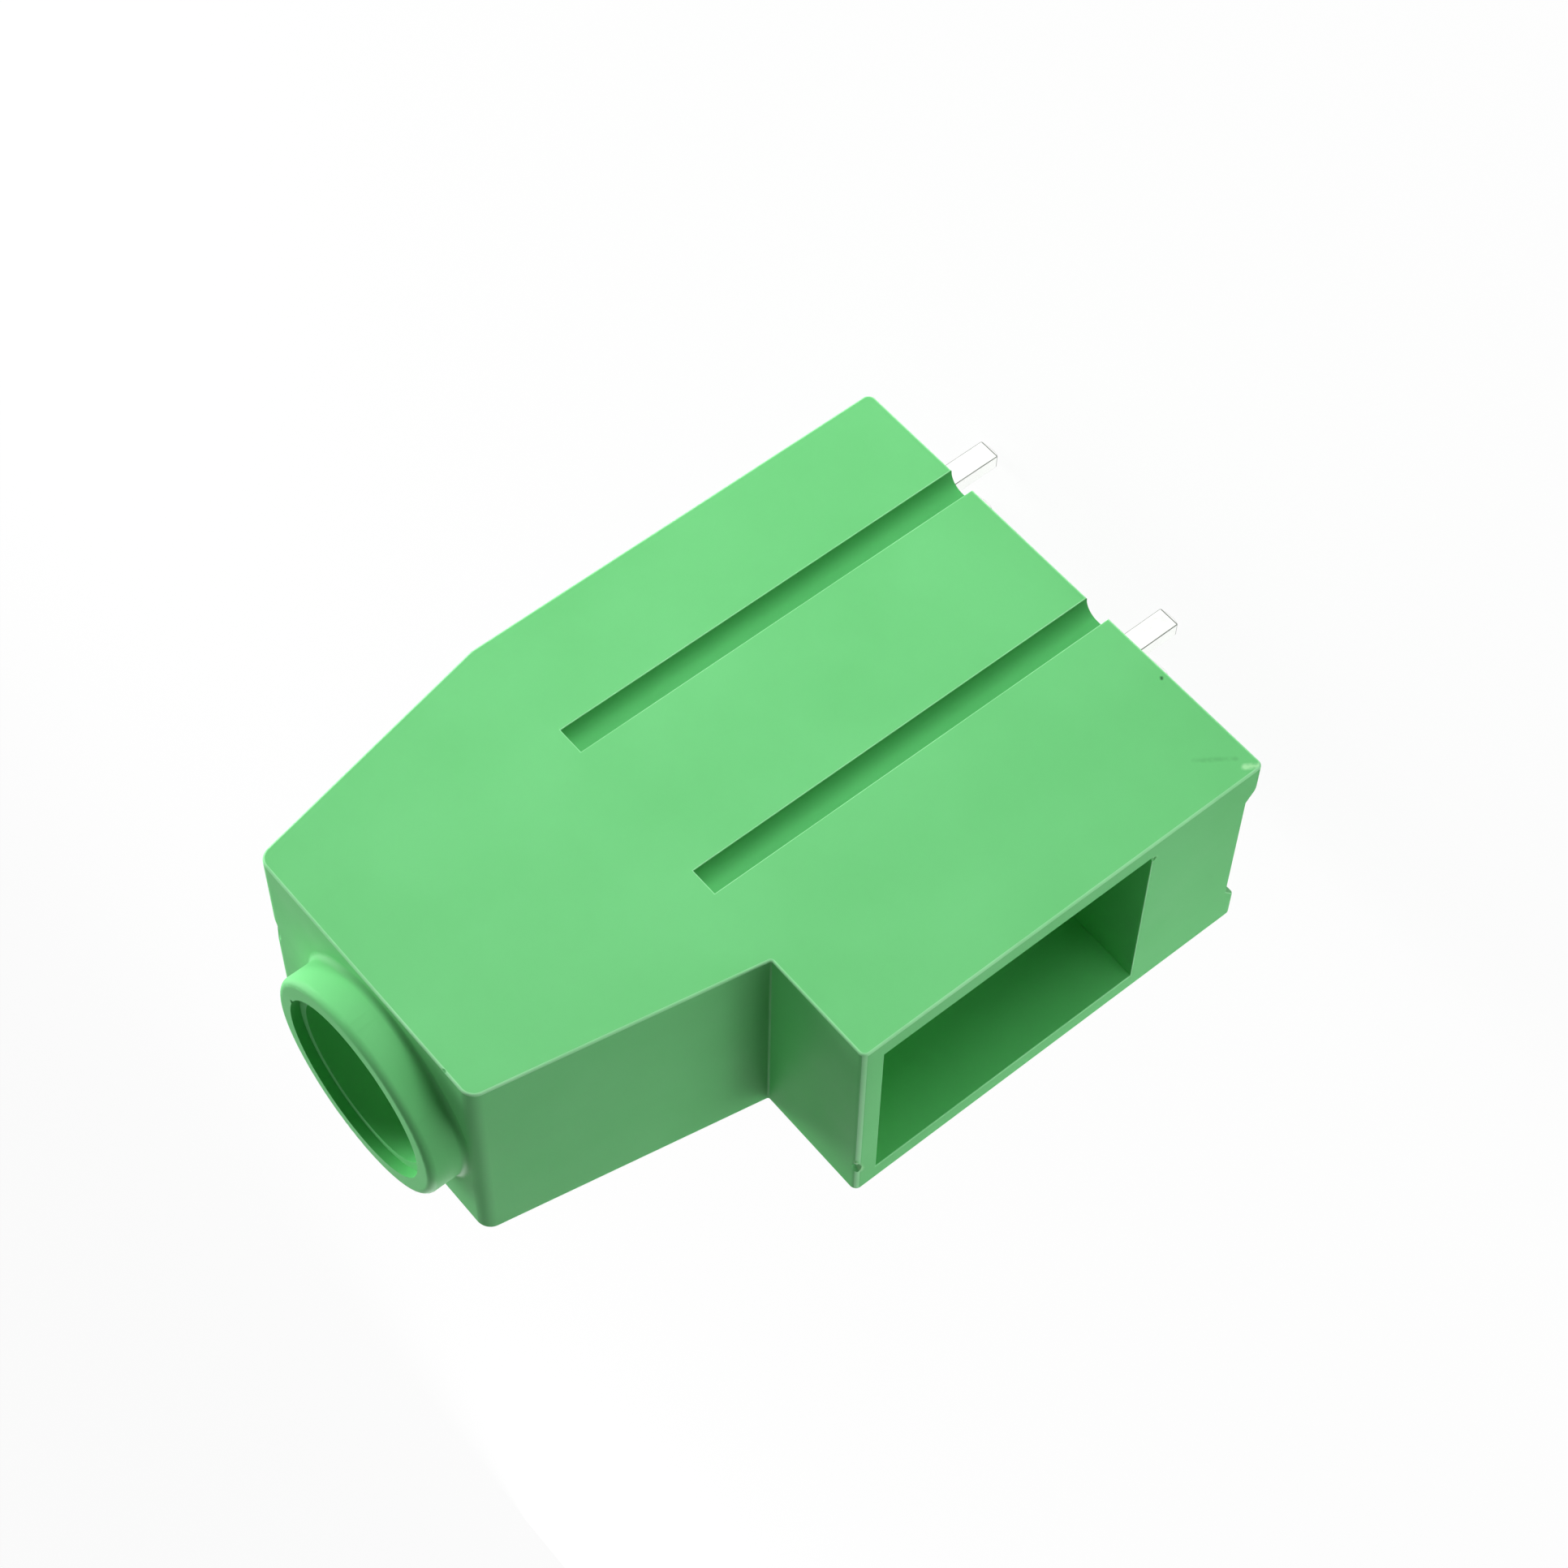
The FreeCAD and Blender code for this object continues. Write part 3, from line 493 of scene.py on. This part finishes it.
def turned(name, radius, low, high, low_chamfer=0.0, high_chamfer=0.0):
    """A turned disc or bar on the screw's axis, with its ends chamfered."""
    bpy.ops.object.select_all(action="DESELECT")
    bpy.ops.mesh.primitive_cylinder_add(vertices=ROUND_STEPS, radius=radius, depth=high - low,
                                        location=(screw_axis, 0, (low + high) / 2))
    piece = bpy.context.object
    piece.name = name
    bpy.ops.object.transform_apply(location=True, rotation=True, scale=True)
    bpy.ops.object.mode_set(mode="EDIT")
    for level, chamfer in ((low, low_chamfer), (high, high_chamfer)):
        if chamfer > 0:
            pick(piece, "EDGE", lambda edge: abs(middle_of(edge).z - level) < MERGE_WITHIN)
            bpy.ops.mesh.bevel(offset=chamfer, segments=1, affect="EDGES")
    bpy.ops.object.mode_set(mode="OBJECT")
    return piece


screw = threaded_rod("clamp_screw_turned", screw_low.z, head_underside + ROD_IN_HEAD)
join_by("INTERSECT", screw, turned("tip_blank", THREAD_CREST + OVERSIZE, screw_low.z,
                                   head_underside + BLANK_IN_HEAD, TIP_CHAMFER + OVERSIZE))
head = turned("screw_head", head_radius, head_underside, screw_high.z, EDGE_SOFTNESS,
              HEAD_CHAMFER)
join_by("UNION", screw, head)

# the slot's cutter is longer than the head is wide, and stands half its height out of it
bpy.ops.object.select_all(action="DESELECT")
bpy.ops.mesh.primitive_cube_add(size=1.0, location=(screw_axis, 0, screw_high.z))
slot_cutter = bpy.context.object
bpy.ops.transform.resize(value=(3 * head_radius, SLOT_WIDTH, 2 * SLOT_DEPTH))
join_by("DIFFERENCE", screw, slot_cutter)
put_in_place(screw, "clamp_screw", "screw", "plated_screw",
             plated_metal("screw_plating", STEEL_GREY, STEEL_WARM, STEEL_ROUGHNESS,
                          TURNED_MARKS))

# Clamp sleeve. Folded steel strip with a drawn and tapped neck, nickel plated. It hangs on the
# screw, holds the wire against the bar and rides up and down in the chamber.
NICKEL_GREY = (0.60, 0.58, 0.53, 1.0)
NICKEL_WARM = (0.68, 0.66, 0.60, 1.0)
NICKEL_ROUGHNESS = (0.28, 0.42)
ROLLED_MARKS = (7000.0, 700.0, 700.0)
SLEEVE_TOP = 3.0 * MM
NECK_HEIGHT = 1.8 * MM
TAP_CLEARANCE = 0.05 * MM
TAP_START = 0.02 * MM
sleeve_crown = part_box("clamp_sleeve")[1].z
sleeve_roof = sleeve_crown - NECK_HEIGHT - SLEEVE_TOP
sleeve = whole_copy("clamp_sleeve", "clamp_sleeve_folded")
join_by("UNION", sleeve, turned("bore_blank", THREAD_CREST + OVERSIZE, sleeve_roof + TAP_START,
                                sleeve_crown - TAP_START))
join_by("DIFFERENCE", sleeve, threaded_rod("tap", sleeve_roof - THREAD_PITCH,
                                           sleeve_crown + THREAD_PITCH, TAP_CLEARANCE))
put_in_place(sleeve, "clamp_sleeve", "sleeve", "plated_sleeve",
             plated_metal("sleeve_plating", NICKEL_GREY, NICKEL_WARM, NICKEL_ROUGHNESS,
                          ROLLED_MARKS))

# Current bar. Stamped and bent copper strip, bright tin plated, with its four solder pins. The
# screw's tip bears on it, and the pins come out through the slots of the base cover.
TIN_GREY = (0.960, 0.980, 0.950, 1.0)
TIN_WHITE = (0.985, 0.995, 0.975, 1.0)
TIN_ROUGHNESS = (0.24, 0.38)
TIN_MARK_DEPTH = 0.0004 * MM
# the stamped edges are painted dark grey as painted shade along the bar's and pins' edges
TIN_EDGE_SHADE_DARK = (0.18, 0.20, 0.17, 1.0)
TIN_EDGE_SHADE_GREY = (0.30, 0.32, 0.29, 1.0)
TIN_EDGE_ROUGHNESS = (0.29, 0.43)
TIN_EDGE_MARK_DEPTH = 0.002 * MM
TIN_EDGE_WIDTH = 0.06 * MM
STAMPED_MARKS = (900.0, 900.0, 5000.0)
TIP_RADIUS = 0.35 * MM
pin_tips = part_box("current_bar")[0].z
bar = whole_copy("current_bar", "current_bar_stamped")
bpy.ops.object.mode_set(mode="EDIT")
pick(bar, "EDGE", lambda edge: (
    max(corner.co.z for corner in edge.verts) < pin_tips + MERGE_WITHIN
    and abs(edge.verts[0].co.x - edge.verts[1].co.x) < MERGE_WITHIN))
bpy.ops.mesh.bevel(offset=TIP_RADIUS, segments=4, affect="EDGES")
bpy.ops.object.mode_set(mode="OBJECT")
# every sharp edge is rounded, and its round painted dark grey as painted shade
edges = bar.modifiers.new("stamped_edges", "BEVEL")
edges.width = TIN_EDGE_WIDTH
edges.segments = 2
edges.material = EDGE
edges.limit_method = "ANGLE"
edges.angle_limit = SMOOTH_UNDER
take(bar)
bpy.ops.object.modifier_apply(modifier=edges.name)
put_in_place(bar, "current_bar", "block", "tinned_copper",
             plated_metal("tin_plating", TIN_GREY, TIN_WHITE, TIN_ROUGHNESS,
                          STAMPED_MARKS, TIN_MARK_DEPTH),
             plated_metal("tin_edge_painted_shade", TIN_EDGE_SHADE_DARK, TIN_EDGE_SHADE_GREY, TIN_EDGE_ROUGHNESS,
                          STAMPED_MARKS, TIN_EDGE_MARK_DEPTH))

# Base cover. A thin moulded plate in the same green polyamide, pressed in from below over the
# pins to close the chamber.
cover = nodes["base_cover"].data
cover.materials.clear()
cover.materials.append(moulded_plastic("cover_green", PLASTIC_GREEN, PLASTIC_PALE))

# Floor and room. A pale sheet under the pins and a white room round it; seen straight on, in
# gloss or through glass they are all but white, and the sheet still takes the block's shadow.
FLOOR_GREY = (0.86, 0.86, 0.86, 1.0)
FLOOR_ROUGHNESS = 0.9
FLOOR_IOR = 1.4
FLOOR_SIZE = 3.0
FLOOR_SHADOW = 0.045
ROOM_LIGHT = 0.05
WHITE = (1.0, 1.0, 1.0, 1.0)


def seen_directly(tree):
    """1 for rays from the camera, from gloss and through glass, 0 for the light itself."""
    rays = add(tree, "ShaderNodeLightPath")
    seen = rays.outputs["Is Camera Ray"]
    for other in ("Is Glossy Ray", "Is Transmission Ray"):
        larger = add(tree, "ShaderNodeMath", operation="MAXIMUM")
        tree.links.new(seen, larger.inputs[0])
        tree.links.new(rays.outputs[other], larger.inputs[1])
        seen = larger.outputs[0]
    return seen


bpy.ops.object.select_all(action="DESELECT")
bpy.ops.mesh.primitive_plane_add(size=FLOOR_SIZE, location=(0, 0, pin_tips))
floor = bpy.context.object
floor.name = "floor"
paper, paper_tree, paper_face = shader("floor_paper", FLOOR_IOR)
paper_face.inputs["Base Color"].default_value = FLOOR_GREY
paper_face.inputs["Roughness"].default_value = FLOOR_ROUGHNESS
share = spread(paper_tree, seen_directly(paper_tree), 0.0, 1.0, 0.0, 1.0 - FLOOR_SHADOW)
white = add(paper_tree, "ShaderNodeEmission", inputs={"Color": WHITE, "Strength": 1.0})
mix = add(paper_tree, "ShaderNodeMixShader")
paper_tree.links.new(share, mix.inputs["Fac"])
paper_tree.links.new(paper_face.outputs[0], mix.inputs[1])
paper_tree.links.new(white.outputs[0], mix.inputs[2])
paper_tree.links.new(mix.outputs[0], paper_tree.nodes["Material Output"].inputs["Surface"])
floor.data.materials.append(paper)

world = bpy.data.worlds.new("white_room")
scene.world = world
world.use_nodes = True
room = world.node_tree.nodes["Background"]
room.inputs["Color"].default_value = WHITE
world.node_tree.links.new(spread(world.node_tree, seen_directly(world.node_tree), 0.0, 1.0,
                                 ROOM_LIGHT, 1.0), room.inputs["Strength"])

# Lamps. Two soft lamps low beside the grooved face, two large ones behind the block, one over
# it, two small ones low before its front and a large one far off its plain side.
AIM = Vector((0.0035, 0.0, 0.018))


def soft_lamp(name, place, size, power):
    """A square soft lamp at that place, turned to the middle of the block."""
    lamp = bpy.data.lights.new(name, "AREA")
    lamp.size = size
    lamp.energy = power
    stand = bpy.data.objects.new(name, lamp)
    scene.collection.objects.link(stand)
    stand.location = place
    stand.rotation_euler = (Vector(place) - AIM).to_track_quat("Z", "Y").to_euler()


soft_lamp("side_lamp", (-0.045, 0.120, 0.004), 0.05, 0.093)
soft_lamp("side_front_lamp", (0.030, 0.125, 0.010), 0.05, 0.046)
soft_lamp("rear_low_lamp", (-0.330, 0.030, 0.090), 0.15, 0.85)
soft_lamp("rear_high_lamp", (-0.250, -0.080, 0.170), 0.15, 0.54)
soft_lamp("over_lamp", (0.000, 0.000, 0.300), 0.15, 0.120)
soft_lamp("front_lamp", (0.110, -0.040, 0.006), 0.03, 0.0285)
soft_lamp("front_low_lamp", (0.070, -0.010, 0.000), 0.03, 0.0072)
soft_lamp("plain_side_lamp", (0.000, -0.300, 0.020), 0.15, 0.41)

# Camera. It stands off the grooved side, above the block and ahead of the wire entry, in the
# place and turn that the block's corners give.
CAMERA_PLACE = Vector((81.0196, 165.3065, 86.0507)) * MM
CAMERA_FORWARD = Vector((-0.40745886, -0.84288062, -0.35146768))
CAMERA_UP = Vector((-0.6541566, 0.53793696, -0.53169819))
CAMERA_LENS = 82.74
SENSOR_WIDTH = 36.0
NEAREST_SEEN = 0.01
camera_data = bpy.data.cameras.new("camera")
camera_data.lens = CAMERA_LENS
camera_data.sensor_width = SENSOR_WIDTH
camera_data.clip_start = NEAREST_SEEN
camera = bpy.data.objects.new("camera", camera_data)
scene.collection.objects.link(camera)
camera_right = CAMERA_FORWARD.cross(CAMERA_UP)
turn = Matrix((camera_right, CAMERA_UP, -CAMERA_FORWARD)).transposed()
camera.matrix_world = Matrix.Translation(CAMERA_PLACE) @ turn.to_4x4()
scene.camera = camera
scene.view_settings.view_transform = "Standard"
